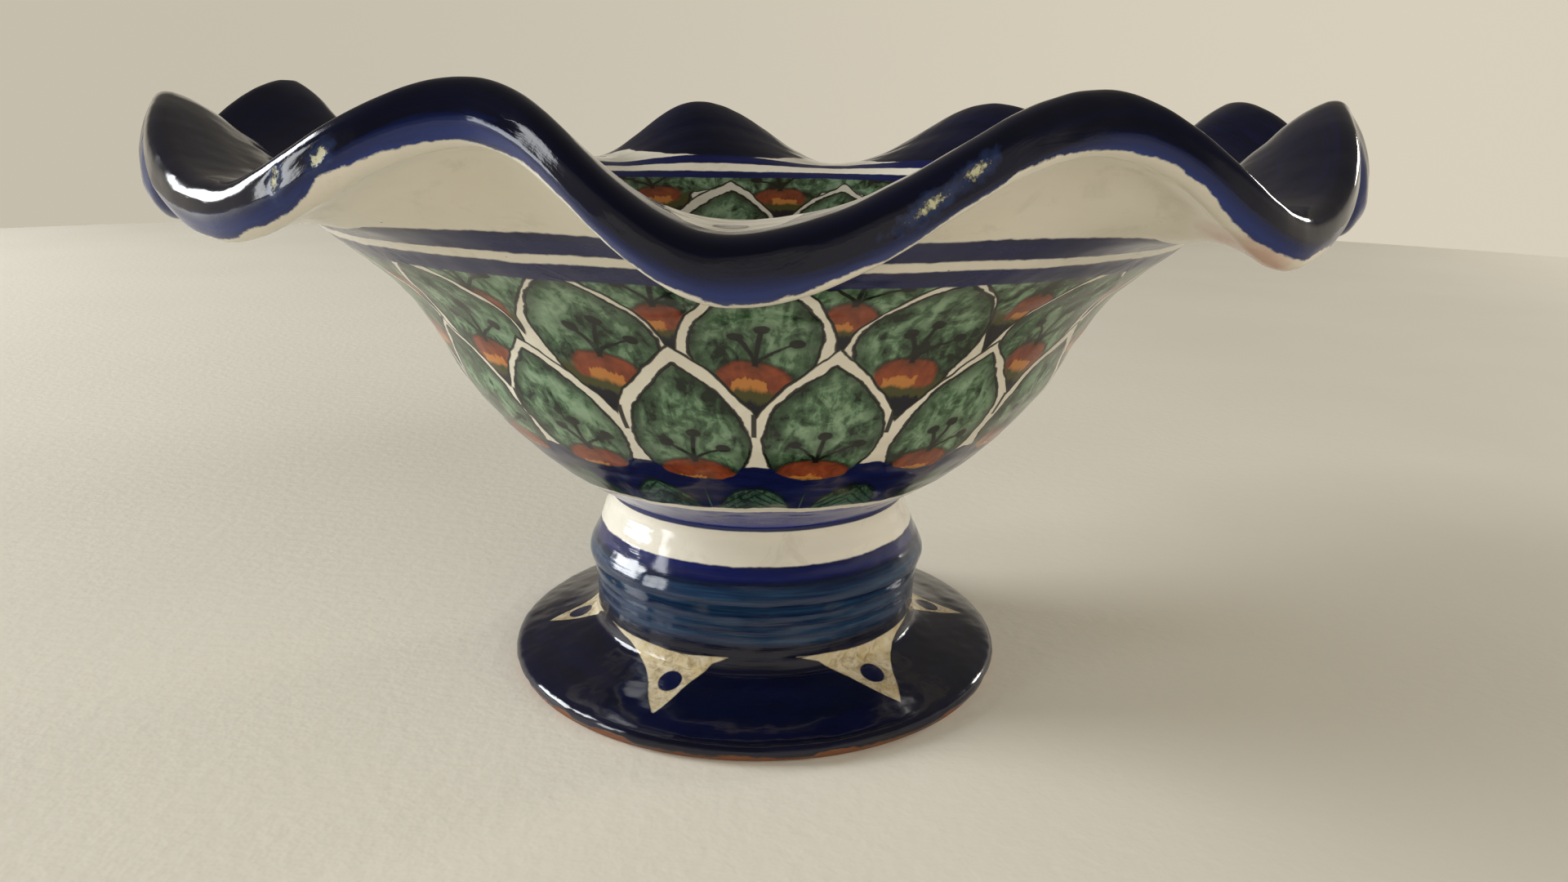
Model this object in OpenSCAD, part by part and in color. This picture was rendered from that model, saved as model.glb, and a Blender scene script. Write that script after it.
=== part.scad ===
// Footed majolica fruit bowl with a ruffled rim. Millimetres, +Z up.
// The origin is on the table, on the axis of the foot. The front is -Y.
// Angles round the axis are measured from the front towards +X.

/* [Foot] */
// Greatest radius of the foot disc, over the glaze
foot_r = 80.8; // [78:0.2:84]
// Height at which the foot disc runs into the collar
disc_z = 13; // [11:0.5:15]
// Inner radius of the flat ring that the foot stands on
ring_inner_r = 67; // [62:1:72]

/* [Stem] */
// Radius of the straight collar above the foot disc
collar_r = 53.2; // [50:0.2:55]
// Radius of the bulge half way up the stem
bulge_r = 55.5; // [54.5:0.5:60]
// Height of the widest part of the bulge
bulge_z = 37; // [35:0.5:38]
// Thickness of the stem's clay wall
stem_wall = 8; // [6:0.5:9]

/* [Joint] */
// Radius of the neck where the bowl is luted to the stem
neck_r = 48.6; // [47:0.2:50]
// Height of the luted joint
joint_z = 58; // [57:0.5:60]
// Thickness of the slip between the two thrown pieces
slip_t = 1.5; // [1:0.25:2.5]

/* [Bowl] */
// Outside radius where the bowl turns into the ruffled flange
break_r = 124.5; // [122:0.5:128]
// Height of that turn above the table
break_z = 141; // [139:0.5:144]
// Thickness of the bowl's wall, glaze included
wall = 7.5; // [6.5:0.5:9]
// Thickness of the bowl's floor, glaze included
floor_t = 9.5; // [8:0.5:12]

/* [Ruffled rim] */
// Length of the flange from the turn to the lip
flange_len = 46.5; // [40:0.5:50]
// Thickness of the thick lip
lip_t = 12.3; // [9:0.1:13]
// How far the lip's rounding stands out past the flange
lip_round = 4.9; // [3:0.1:6]
// Depth of the ruffles, where 1 is the full depth
ruffle_depth = 1; // [0.5:0.05:1.1]

/* [Glaze] */
// Thickness of the tin glaze
glaze_t = 0.5; // [0.3:0.1:0.8]
// Height of the bare clay left above the table
bare_z = 1.8; // [1:0.2:3]

/* [Hidden] */
clay = "sienna";
slip = "peru";
tin_white = "antiquewhite";
cobalt = "midnightblue";

// Rings of points round the bowl, and steps along each stretch of its section
around = 80;
body_steps = 9;
flange_steps = 5;
lip_steps = 5;
floor_steps = 2;
// Steps between two points of a smoothed outline that is turned on the wheel
turn_steps = 4;
$fn = 96;

// The hand-pinched ruffles: [angle, swing], crests up and troughs down by turns
RUFFLES = [
    [-64, 0.75], [-39, -0.7], [-19, 0.95], [-2, -1.1], [23, 0.95], [40, -0.9],
    [62, 1], [78, -1.05], [98, 1.1], [120, -1], [142, 1.05], [168, -1.15],
    [190, 0.95], [206, -1], [227, 1], [245, -1], [260, 1.25], [280, -1.1]
];
// Slope of the flange in degrees from the turn, at 0, to the lip, at 1
CREST_SLOPE = [[0, 41], [0.2, 46], [0.4, 46], [0.6, 44], [0.8, 39], [1, 13]];
TROUGH_SLOPE = [[0, 40], [0.2, 23], [0.4, 7], [0.6, 4], [0.8, -7], [1, -16]];
// The flange starts to thicken towards the lip this far along
thicken_from = 0.7;
// Squareness of the lip's rounding, where 2 is a true ellipse
lip_square = 2.6;

// A smooth curve through a list of points: Catmull-Rom, with doubled ends
function knot(p, i) = p[max(0, min(len(p) - 1, i))];
function blend(a, b, c, d, t) =
    0.5 * (2 * b + (c - a) * t + (2 * a - 5 * b + 4 * c - d) * t * t
        + (3 * b - a - 3 * c + d) * t * t * t);
function along(p, u) =
    let (i = min(len(p) - 2, floor(u)))
    blend(knot(p, i - 1), knot(p, i), knot(p, i + 1), knot(p, i + 2), u - i);
function smooth(p, steps) =
    [for (k = [0:steps * (len(p) - 1)]) along(p, k / steps)];

// Outside of the bowl from the joint to the turn, over the glaze
BOWL_OUTSIDE = [
    [neck_r, joint_z], [neck_r + 7.4, joint_z + 5.5], [66, 70.5], [80, 84],
    [92, 99], [98.5, 111.5], [107, 125],
    [break_r - 8, break_z - 6.6], [break_r, break_z]
];
body_spans = len(BOWL_OUTSIDE) - 1;
function body_point(t) = along(BOWL_OUTSIDE, t * body_spans);
function body_slope(t) =
    let (step = 0.01, d = body_point(min(1, t + step)) - body_point(max(0, t - step)))
    atan2(d[1], d[0]);
// Outward normal of a section that climbs at a given slope
function outward(slope) = [sin(slope), -cos(slope)];

// Ruffle value at an angle: eased from each crest to the next trough
function swing(angle) =
    let (
        n = len(RUFFLES),
        first = RUFFLES[0][0],
        a = angle < first ? angle + 360 : angle,
        here = [for (i = [0:n - 1]) if (RUFFLES[i][0] <= a) i],
        i = here[len(here) - 1],
        from = RUFFLES[i],
        to = i == n - 1 ? [first + 360, RUFFLES[0][1]] : RUFFLES[i + 1],
        ease = (1 - cos(180 * (a - from[0]) / (to[0] - from[0]))) / 2
    )
    ruffle_depth * (from[1] + (to[1] - from[1]) * ease);
function flange_slope(s, w) =
    let (up = (1 + w) / 2)
    lookup(s, CREST_SLOPE) * up + lookup(s, TROUGH_SLOPE) * (1 - up);
function flange_t(s) =
    wall + (lip_t - wall) * pow(max(0, s - thicken_from) / (1 - thicken_from), 1.5);
// Middle line of the flange, from the turn to the lip
function flange_line(w) =
    let (
        ds = 1 / flange_steps,
        start = [break_r, break_z] - outward(flange_slope(0, w)) * wall / 2
    )
    [for (i = 0, p = start; i <= flange_steps;
        a = flange_slope((i + 0.5) * ds, w),
        p = p + [cos(a), sin(a)] * flange_len * ds,
        i = i + 1) p];

// The section's stretches at one angle, drawn inwards from the glaze by inset
function outside_line(inset) =
    [for (k = [0:body_steps - 1])
        let (t = k / body_steps)
        k == 0
            ? [neck_r - inset, joint_z]
            : body_point(t) - outward(body_slope(t)) * inset];
function flange_side(w, side, inset) =
    let (line = flange_line(w))
    [for (i = [0:flange_steps])
        let (s = i / flange_steps)
        line[i] + outward(flange_slope(s, w)) * side * (flange_t(s) / 2 - inset)];
function power(x, e) = sign(x) * pow(abs(x), e);
function lip_line(w, inset) =
    let (
        line = flange_line(w),
        a = flange_slope(1, w),
        half = lip_t / 2 - inset,
        e = 2 / lip_square
    )
    [for (k = [1:lip_steps - 1])
        let (u = 90 - 180 * k / lip_steps)
        line[flange_steps]
            + [cos(a), sin(a)] * (lip_round - inset) * power(cos(u), e)
            + outward(a) * half * power(sin(u), e)];
function inside_line(inset) =
    [for (k = [body_steps - 1:-1:1])
        let (t = k / body_steps, p = body_point(t) - outward(body_slope(t)) * (wall - inset))
        [p[0], max(p[1], joint_z + floor_t - inset)]];
function floor_line(inset) =
    [for (k = [1:floor_steps - 1])
        [(neck_r - wall) * (1 - k / floor_steps), joint_z + floor_t - inset]];
function reversed(p) = [for (i = [len(p) - 1:-1:0]) p[i]];
function section(w, inset) = concat(
    outside_line(inset),
    flange_side(w, 1, inset),
    lip_line(w, inset),
    reversed(flange_side(w, -1, inset)),
    inside_line(inset),
    floor_line(inset)
);

// Points of a section turned through its angle
function turned(p, angle) = [for (q = p) [q[0] * sin(angle), -q[0] * cos(angle), q[1]]];
function flat(lists) = [for (l = lists) each l];
// Faces between rings of n points each, closed round the axis, from point
// `first` to point `last`. The same diagonal has to be used on both faces of
// a thin skin, and it is the other one when the points run backwards.
function skin_faces(rings, n, first, last, backwards) =
    [for (j = [0:rings - 1], i = [first:last - 1])
        let (a = j * n + i, b = ((j + 1) % rings) * n + i)
        each backwards
            ? [[a, a + 1, b], [a + 1, b + 1, b]]
            : [[a, a + 1, b + 1], [a, b + 1, b]]];
// Faces that join one point of every ring to a pole on the axis
function fan_faces(rings, n, i, pole, up) =
    [for (j = [0:rings - 1])
        let (a = j * n + i, b = ((j + 1) % rings) * n + i)
        up ? [a, pole, b] : [b, pole, a]];

// A solid skinned over rings of points, whose first and last points are joined
// to the axis at the two given heights
module ringed_solid(rings, bottom, top) {
    count = len(rings);
    n = len(rings[0]);
    polyhedron(
        points = concat(flat(rings), [[0, 0, bottom], [0, 0, top]]),
        faces = concat(
            skin_faces(count, n, 0, n - 1, false),
            fan_faces(count, n, 0, count * n, false),
            fan_faces(count, n, n - 1, count * n + 1, true)
        ),
        convexity = 8
    );
}

angles = [for (j = [0:around - 1]) RUFFLES[0][0] + 360 * j / around];

// Thrown clay bowl with its ruffled flange and thick lip
module bowl() {
    rings = [for (a = angles) turned(section(swing(a), glaze_t), a)];
    color(clay)
        ringed_solid(rings, joint_z, joint_z + floor_t - glaze_t);
}

// Tin glaze over the whole bowl, from the joint round the lip to the floor
module bowl_glaze() {
    rings = [for (a = angles)
        let (w = swing(a))
        concat(turned(section(w, 0), a), reversed(turned(section(w, glaze_t), a)))];
    count = len(rings);
    n = len(rings[0]);
    half = n / 2;
    pole = count * n;
    top = joint_z + floor_t;
    joint_edge = [for (j = [0:count - 1])
        [j * n + n - 1, j * n, ((j + 1) % count) * n, ((j + 1) % count) * n + n - 1]];
    color(tin_white)
        polyhedron(
            points = concat(flat(rings), [[0, 0, top], [0, 0, top - glaze_t]]),
            faces = concat(
                skin_faces(count, n, 0, half - 1, false),
                skin_faces(count, n, half, n - 1, true),
                joint_edge,
                fan_faces(count, n, half - 1, pole, true),
                fan_faces(count, n, half, pole + 1, false)
            ),
            convexity = 8
        );
}

// Outside of the foot and stem over the glaze, from the bare edge to the joint
STEM_OUTSIDE = [
    [foot_r - 0.4, bare_z], [foot_r, bare_z + 1.4], [foot_r - 1.4, 5.6],
    [foot_r - 7, 7.6], [62, disc_z - 2.4], [collar_r + 2.2, disc_z],
    [collar_r + 0.2, disc_z + 3], [collar_r, disc_z + 11], [collar_r + 0.6, bulge_z - 7],
    [bulge_r - 1.2, bulge_z - 4], [bulge_r, bulge_z], [bulge_r - 1.2, bulge_z + 3.4],
    [collar_r - 0.4, bulge_z + 6], [neck_r + 2, joint_z - 9], [neck_r, joint_z - 4],
    [neck_r, joint_z]
];
// Hollow underside of the foot and stem, from the standing ring to the joint
STEM_INSIDE = [
    [ring_inner_r, 0], [ring_inner_r - 7, 3.6], [collar_r - 4, disc_z - 7],
    [collar_r - stem_wall, disc_z], [collar_r - stem_wall - 0.6, bulge_z],
    [neck_r - stem_wall, joint_z - 6], [neck_r - stem_wall, joint_z - slip_t]
];
// An outline moved towards the axis, for the clay under the glaze
function under_glaze(p) = [for (q = p) [q[0] - glaze_t, q[1]]];
function below(p, z) = [for (q = p) [q[0], min(q[1], z)]];

module turned_solid(outline) {
    rotate_extrude(convexity = 8)
        polygon(outline);
}

// Thrown hollow foot and stem, bare where it meets the table
module pedestal() {
    outside = below(under_glaze(smooth(STEM_OUTSIDE, turn_steps)), joint_z - slip_t);
    standing = [foot_r - 1.6, 0];
    color(clay)
        turned_solid(concat([standing], outside, reversed(smooth(STEM_INSIDE, turn_steps))));
}

// Tin glaze over the outside of the foot and stem
module pedestal_glaze() {
    outside = smooth(STEM_OUTSIDE, turn_steps);
    color(cobalt)
        turned_solid(concat(outside, reversed(under_glaze(outside))));
}

// Ring of slip that lutes the bowl to the stem, squeezed out a little inside
module slip_joint() {
    outer = neck_r - glaze_t;
    inner = neck_r - stem_wall;
    squeeze = slip_t;
    color(slip)
        turned_solid([
            [outer, joint_z - slip_t], [outer, joint_z],
            [inner - squeeze, joint_z], [inner - squeeze * 0.7, joint_z - slip_t * 0.7],
            [inner, joint_z - slip_t]
        ]);
}

bowl();
pedestal();
slip_joint();
bowl_glaze();
pedestal_glaze();
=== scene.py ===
"""Footed majolica fruit bowl with a ruffled rim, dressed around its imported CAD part.

The glaze is one skin of points, worked out in millimetres from the same outlines
as the CAD part and cut into sheets. What the painter drew is stored on those
points as distances in millimetres, which the materials turn into brushwork.
"""
import math

import bpy
import numpy as np
from mathutils import Matrix, Vector


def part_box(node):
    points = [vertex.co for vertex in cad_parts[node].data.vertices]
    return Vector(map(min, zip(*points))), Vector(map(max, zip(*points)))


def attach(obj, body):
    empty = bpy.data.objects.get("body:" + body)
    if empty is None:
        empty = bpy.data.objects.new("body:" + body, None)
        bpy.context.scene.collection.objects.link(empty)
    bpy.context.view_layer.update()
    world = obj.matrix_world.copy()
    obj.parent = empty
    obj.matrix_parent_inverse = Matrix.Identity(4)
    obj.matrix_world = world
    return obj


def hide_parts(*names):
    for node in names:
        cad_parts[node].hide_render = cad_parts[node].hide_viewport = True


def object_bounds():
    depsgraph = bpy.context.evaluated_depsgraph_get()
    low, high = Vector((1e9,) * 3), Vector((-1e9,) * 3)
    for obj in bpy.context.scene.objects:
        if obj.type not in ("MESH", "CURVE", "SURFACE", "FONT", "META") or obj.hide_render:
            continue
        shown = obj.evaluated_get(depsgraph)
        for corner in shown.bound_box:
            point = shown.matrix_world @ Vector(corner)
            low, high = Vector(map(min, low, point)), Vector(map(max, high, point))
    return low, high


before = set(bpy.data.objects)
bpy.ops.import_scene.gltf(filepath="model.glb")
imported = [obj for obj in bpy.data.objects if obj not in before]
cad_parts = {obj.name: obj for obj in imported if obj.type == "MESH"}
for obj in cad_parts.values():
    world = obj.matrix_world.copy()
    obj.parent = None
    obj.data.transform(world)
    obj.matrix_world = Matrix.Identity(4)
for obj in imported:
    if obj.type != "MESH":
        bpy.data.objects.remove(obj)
CAD_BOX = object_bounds()
MM = 0.001

# -------------------- sizes, mm

GLAZE_T = 0.5
JOINT_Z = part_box("slip_joint")[1].z / MM
NECK_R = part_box("slip_joint")[1].x / MM + GLAZE_T
FOOT_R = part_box("pedestal_glaze")[1].x / MM
BARE_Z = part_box("pedestal_glaze")[0].z / MM
FLOOR_Z = JOINT_Z + 9.5
WALL = 7.5
BREAK_R = 124.5
BREAK_Z = 141
FLANGE_LEN = 46.5
LIP_T = 12.3
LIP_ROUND = 4.9
LIP_SQUARE = 2.6
THICKEN_FROM = 0.7

# The hand-pinched ruffles: (angle, swing), crests up and troughs down by turns.
# Angles are in degrees from the front, towards +X.
RUFFLES = [
    (-64, 0.75), (-39, -0.7), (-19, 0.95), (-2, -1.1), (23, 0.95), (40, -0.9),
    (62, 1), (78, -1.05), (98, 1.1), (120, -1), (142, 1.05), (168, -1.15),
    (190, 0.95), (206, -1), (227, 1), (245, -1), (260, 1.25), (280, -1.1),
]
SPOTS = [0, 0.2, 0.4, 0.6, 0.8, 1]
CREST_SLOPE = [41, 46, 46, 44, 39, 13]
TROUGH_SLOPE = [40, 23, 7, 4, -7, -16]

BOWL_OUTSIDE = np.array([
    (NECK_R, JOINT_Z), (NECK_R + 7.4, JOINT_Z + 5.5), (66, 70.5), (80, 84), (92, 99),
    (98.5, 111.5), (107, 125), (BREAK_R - 8, BREAK_Z - 6.6), (BREAK_R, BREAK_Z),
])
STEM_OUTSIDE = np.array([
    (FOOT_R - 0.4, BARE_Z), (FOOT_R, BARE_Z + 1.4), (FOOT_R - 1.4, 5.6),
    (FOOT_R - 7, 7.6), (62, 10.6), (55.4, 13), (53.4, 16), (53.2, 24), (53.8, 30),
    (54.3, 33), (55.5, 37), (54.3, 40.4), (52.8, 43), (NECK_R + 2, JOINT_Z - 9),
    (NECK_R, JOINT_Z - 4), (NECK_R, JOINT_Z),
])
STEM_INSIDE = np.array([
    (67, 0), (60, 3.6), (49.2, 6), (45.2, 13), (44.6, 37), (40.6, JOINT_Z - 6),
    (40.6, JOINT_Z - 1.5),
])

AROUND = 680
OUTSIDE_ROWS = 118
FLANGE_ROWS = 50
LIP_ROWS = 26
INSIDE_ROWS = 110
STEM_ROWS = 110

ANGLES = np.arange(AROUND) * 360 / AROUND - 180
# Radius on which the waver of edges is laid out
RAGGED_R = 150

# Rows of the skin at the turn, at both edges of the lip, above the blue bands
# outside and at the blue line inside, where one sheet of glaze ends
TURN_ROW = OUTSIDE_ROWS
LIP_ROW = TURN_ROW + FLANGE_ROWS
TOP_ROW = LIP_ROW + LIP_ROWS
BAND_ROW = TURN_ROW + 25
LINE_ROW = TOP_ROW + 46


# -------------------- outlines

def along(outline, spans):
    """Points of a smooth curve (Catmull-Rom, doubled ends) at places counted in spans."""
    spans = np.asarray(spans, float)
    i = np.minimum(len(outline) - 2, np.floor(spans).astype(int))
    t = (spans - i)[:, None]
    a, b, c, d = (outline[np.clip(i + k, 0, len(outline) - 1)] for k in (-1, 0, 1, 2))
    return 0.5 * (
        2 * b + (c - a) * t + (2 * a - 5 * b + 4 * c - d) * t**2
        + (3 * b - a - 3 * c + d) * t**3
    )


def lengths(path):
    """Distance along a path up to each of its points."""
    return np.r_[0, np.cumsum(np.linalg.norm(np.diff(path, axis=0), axis=1))]


def evenly(outline, count):
    """A smoothed outline as evenly spaced points."""
    fine = along(outline, np.linspace(0, len(outline) - 1, 40 * len(outline)))
    run = lengths(fine)
    want = np.linspace(0, run[-1], count)
    return np.stack([np.interp(want, run, fine[:, k]) for k in (0, 1)], -1)


def outward(slope):
    """Outward normal of a section that climbs at a slope in radians."""
    return np.stack([np.sin(slope), -np.cos(slope)], -1)


def slopes(path):
    """Slope of a path at each of its points, in radians."""
    step = np.gradient(path, axis=0)
    return np.arctan2(step[:, 1], step[:, 0])


def swing():
    """Ruffle value at every angle of the skin, eased from each crest to the next trough."""
    spots = np.array([a for a, _ in RUFFLES] + [RUFFLES[0][0] + 360], float)
    values = np.array([v for _, v in RUFFLES] + [RUFFLES[0][1]], float)
    turned = np.mod(ANGLES - spots[0], 360) + spots[0]
    i = np.clip(np.searchsorted(spots, turned, side="right") - 1, 0, len(RUFFLES) - 1)
    ease = (1 - np.cos(np.pi * (turned - spots[i]) / (spots[i + 1] - spots[i]))) / 2
    return values[i] + (values[i + 1] - values[i]) * ease


def flange(w, lip_t):
    """Middle line, slope and thickness of the flange at each angle, from the turn out."""
    s = np.linspace(0, 1, FLANGE_ROWS + 1)
    up = (1 + w[:, None]) / 2

    def slope(at):
        crest, trough = np.interp(at, SPOTS, CREST_SLOPE), np.interp(at, SPOTS, TROUGH_SLOPE)
        return np.radians(crest * up + trough * (1 - up))

    a, middle = slope(s), slope((s[1:] + s[:-1]) / 2)
    start = BOWL_OUTSIDE[-1] - outward(a[:, 0]) * WALL / 2
    step = np.stack([np.cos(middle), np.sin(middle)], -1) * FLANGE_LEN / FLANGE_ROWS
    line = start[:, None] + np.concatenate(
        [np.zeros((len(w), 1, 2)), np.cumsum(step, axis=1)], axis=1
    )
    swell = (np.maximum(0, s - THICKEN_FROM) / (1 - THICKEN_FROM)) ** 1.5
    return line, a, WALL + (lip_t[:, None] - WALL) * swell


def lip(line, slope, thick):
    """Rounded edge of the flange, from under it over to its top."""
    u = np.radians(np.linspace(90, -90, LIP_ROWS + 1))
    ease = 2 / LIP_SQUARE
    ahead = np.stack([np.cos(slope), np.sin(slope)], -1)[:, None]
    across = outward(slope)[:, None]
    reach = (LIP_ROUND * np.cos(u) ** ease)[None, :, None]
    side = (np.sign(np.sin(u)) * np.abs(np.sin(u)) ** ease)[None, :, None]
    return line[:, None] + ahead * reach + across * side * (thick / 2)[:, None, None]


def inner_wall(start):
    """Inside of the bowl from the flange down to the floor and in to the axis."""
    body = evenly(BOWL_OUTSIDE, 400)[::-1]
    wall = body - outward(slopes(body[::-1])[::-1]) * WALL
    lift = FLOOR_Z - wall[:, 1]
    wall[:, 1] += 1.5 * np.log1p(np.exp(np.clip(lift / 1.5, -30, 30)))
    wall = wall[wall[:, 1] > FLOOR_Z + 0.12]
    wall = np.concatenate([wall, [(40, FLOOR_Z + 0.05), (20, FLOOR_Z), (1.5, FLOOR_Z)]])
    run = lengths(wall)
    want = np.linspace(0, run[-1], INSIDE_ROWS + 1)
    even = np.stack([np.interp(want, run, wall[:, k]) for k in (0, 1)], -1)
    join = np.exp(-want / 5)[None, :, None]
    return even[None] + (start[:, None] - even[None, :1]) * join


def waves(points, wavelength, seed, count=22):
    """Smooth noise of about unit size: plane waves in random directions."""
    rng = np.random.default_rng(seed)
    total = np.zeros(points.shape[:-1])
    for _ in range(count):
        direction = rng.normal(size=3)
        direction *= 2 * math.pi / (np.linalg.norm(direction) * wavelength * rng.uniform(0.7, 1.5))
        total += np.sin(points @ direction + rng.uniform(0, 2 * math.pi))
    return total / math.sqrt(count / 2)


def turn(section):
    """One section, or one for each angle, turned round the axis into points."""
    a = np.radians(ANGLES)[:, None]
    r, z = section[..., 0], section[..., 1]
    return np.stack([r * np.sin(a), -r * np.cos(a), z + 0 * a], -1)


def facing(points):
    """Unit normals of a grid that is closed round the axis, pointing out of the clay."""
    ring = np.roll(points, -1, axis=0) - np.roll(points, 1, axis=0)
    climb = np.gradient(points, axis=1)
    normal = np.cross(ring, climb)
    return normal / np.maximum(1e-9, np.linalg.norm(normal, axis=-1, keepdims=True))


# -------------------- what is painted

# Lines on which the lowest feathers meet, as the painter spaced them in front,
# and how far the feathers on either side lean, in mm at the tip
FRONT_JUNCTIONS = [-41.8, -21.1, -0.8, 20.4, 42.9]
FEATHERS = 17
# Inside the painter fitted fewer: (a line where two meet, number round)
INSIDE_JUNCTION, INSIDE_FEATHERS = 176.2, 14
LOW_LEANS = {0: -5.5, 1: -1, 2: 0.5, 3: 4}
HIGH_LEANS = {0: -3, 1: -2.5, 2: 2, 3: 3, 4: 4}

# Half widths of a feather at places along the run from the joint, in mm
LOW_GREEN = [(36, 7), (40, 8.8), (44, 11), (50, 13.6), (58, 15), (64, 14.4), (69, 12.2),
             (74, 8.4), (78.5, 4), (82, 0)]
LOW_EDGE = [(36, 22), (50, 21), (62, 18), (66, 17), (70, 14.8), (75.5, 10.8), (80, 7),
            (84, 2.8), (87, 0)]
HIGH_GREEN = [(64, 4), (72, 9), (80, 13.2), (84, 15), (89, 16.2), (94, 15.6), (99, 13.6),
              (104, 10.4), (108, 6.4), (112.5, 0)]
HIGH_EDGE = [(64, 24), (80, 21), (84, 19.4), (88, 18.6), (94, 17.6), (99, 15.8),
             (104, 12.8), (108, 9.4), (112, 5.4), (117, 0)]

# Runs of the eyes in the low, high and topmost feathers, of the edges of the blue zone,
# the white line and the blue ring under the feathers, and of the blue line inside
EYE_RUNS = (43.6, 78.6, 98)
BLUE_TOP = 38.8
WHITE_TOP = 20.6
RING_TOP = 17.4
INSIDE_LINE = 91.3
# Heights between which the blue bands run on the turn, and ways in from the lip of the
# first blue line on the flange and of the start of the second
LOWER_BAND = (138.8, 142.9)
UPPER_BAND = (145.1, 150)
FLANGE_LINE = (32.6, 37.4)
LAST_LINE = 41.9
# Heights of the pale wash on the stem, the dark collar over it and the cream neck
WASH = (22.5, 41.5)
COLLAR_Z = 42.6
NECK_Z = 47


def signed_distance(x, y, outline):
    """Distance from points to a closed outline, positive inside it."""
    edge = np.roll(outline, -1, axis=0) - outline
    dx, dy = x[..., None] - outline[:, 0], y[..., None] - outline[:, 1]
    t = np.clip((dx * edge[:, 0] + dy * edge[:, 1]) / (edge**2).sum(1), 0, 1)
    distance = np.hypot(dx - t * edge[:, 0], dy - t * edge[:, 1]).min(-1)
    above, above_next = dy < 0, (dy - edge[:, 1]) < 0
    level = np.where(edge[:, 1] == 0, 1e-9, edge[:, 1])
    crossed = (above != above_next) & (dx < dy * edge[:, 0] / level)
    return np.where(crossed.sum(-1) % 2 == 1, distance, -distance)


def feather_outline(profile, lean, rng):
    """A hand-drawn feather: both sides bulge a little differently and the tip leans."""
    fine = along(np.array(profile, float), np.linspace(0, len(profile) - 1, 4 * len(profile)))
    y, half = fine[:, 0], np.maximum(0, fine[:, 1])
    spine = lean * ((y - y[0]) / (y[-1] - y[0])) ** 2
    rise = (y - y[0]) * rng.uniform(-0.025, 0.025)
    sides = []
    for side in (-1, 1):
        bulge = rng.uniform(0.97, 1.04) + 0.03 * np.sin((y - y[0]) / 11 + rng.uniform(0, 6))
        sides.append(np.stack([spine + side * half * bulge, y + rise], -1))
    return np.concatenate([sides[0], sides[1][::-1][1:]])


def turned_by(angles, centre):
    """Angles measured from a centre, within half a turn."""
    return np.mod(angles - centre + 180, 360) - 180


def feather_row(run, radius, centres, leans, green, edge, seed):
    """Distances into the green and the white border, and places within a feather."""
    shape = (AROUND, len(run))
    fields = {name: np.full(shape, -30.0) for name in ("green", "edge")}
    fields["side"], fields["number"] = np.full(shape, 30.0), np.zeros(shape)
    rng = np.random.default_rng(seed)
    low, high = green[0][0], green[-1][0]
    wide = math.sqrt(FEATHERS / len(centres))
    for k, centre in enumerate(centres):
        lean, number = leans.get(k, rng.normal(0, 1.6)), rng.uniform(0.05, 1)
        away = turned_by(ANGLES, centre)
        near = np.flatnonzero(np.abs(away) < 17 * wide)
        x = np.radians(away[near])[:, None] * radius / wide
        for name, profile in (("green", green), ("edge", edge)):
            outline = feather_outline(profile, lean, rng)
            fields[name][near] = np.maximum(fields[name][near], signed_distance(x, run, outline))
        side = x - lean * np.clip((run - low) / (high - low), 0, 1.2) ** 2
        closer = np.abs(side) < np.abs(fields["side"][near])
        for name, value in (("side", side), ("number", number)):
            fields[name][near] = np.where(closer, value, fields[name][near])
    return fields


def feathers(run, seed, junctions):
    """What the feather zone needs at each point, for a run in mm from the joint."""
    radius = np.interp(run, RUN_OUTSIDE, EVEN_OUTSIDE[:, 0])
    middles = [a + turned_by(b, a) / 2 for a, b in zip(junctions, np.roll(junctions, -1))]
    low = feather_row(run, radius, middles, LOW_LEANS, LOW_GREEN, LOW_EDGE, seed)
    high = feather_row(run, radius, junctions, HIGH_LEANS, HIGH_GREEN, HIGH_EDGE, seed + 1)
    made = {f"low_{name}": field for name, field in low.items()}
    made.update({f"high_{name}": field for name, field in high.items()})
    made["run"] = np.tile(run, (AROUND, 1))
    return made


def junction_angles(rng, spread):
    """The measured junctions in front, and even ones round the back."""
    rest = FEATHERS - len(FRONT_JUNCTIONS) + 1
    gap = (360 - FRONT_JUNCTIONS[-1] + FRONT_JUNCTIONS[0]) / rest
    hidden = [FRONT_JUNCTIONS[-1] + gap * k + rng.normal(0, spread) for k in range(1, rest)]
    return FRONT_JUNCTIONS + hidden


EVEN_OUTSIDE = evenly(BOWL_OUTSIDE, OUTSIDE_ROWS + 1)
RUN_OUTSIDE = lengths(EVEN_OUTSIDE)


# -------------------- meshes

LOW_CORNER, HIGH_CORNER = (np.array(corner) / MM for corner in CAD_BOX)


def pushed(points, depth):
    """Points moved out of the clay by a depth in mm, and kept inside the CAD part's box."""
    moved = points + facing(points) * depth[..., None]
    return np.clip(moved, LOW_CORNER + 0.01, HIGH_CORNER - 0.01)


def uneven(points, fade):
    """The skin with the slow waver of hand-thrown clay and the fine one of the glaze."""
    depth = 0.16 * waves(points, 62, 3) + 0.05 * waves(points, 15, 4) + 0.02 * waves(points, 6, 5)
    return pushed(points, depth * fade)


def add_object(name, data):
    """A new object in the scene."""
    made = bpy.data.objects.new(name, data)
    bpy.context.scene.collection.objects.link(made)
    return made


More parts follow.
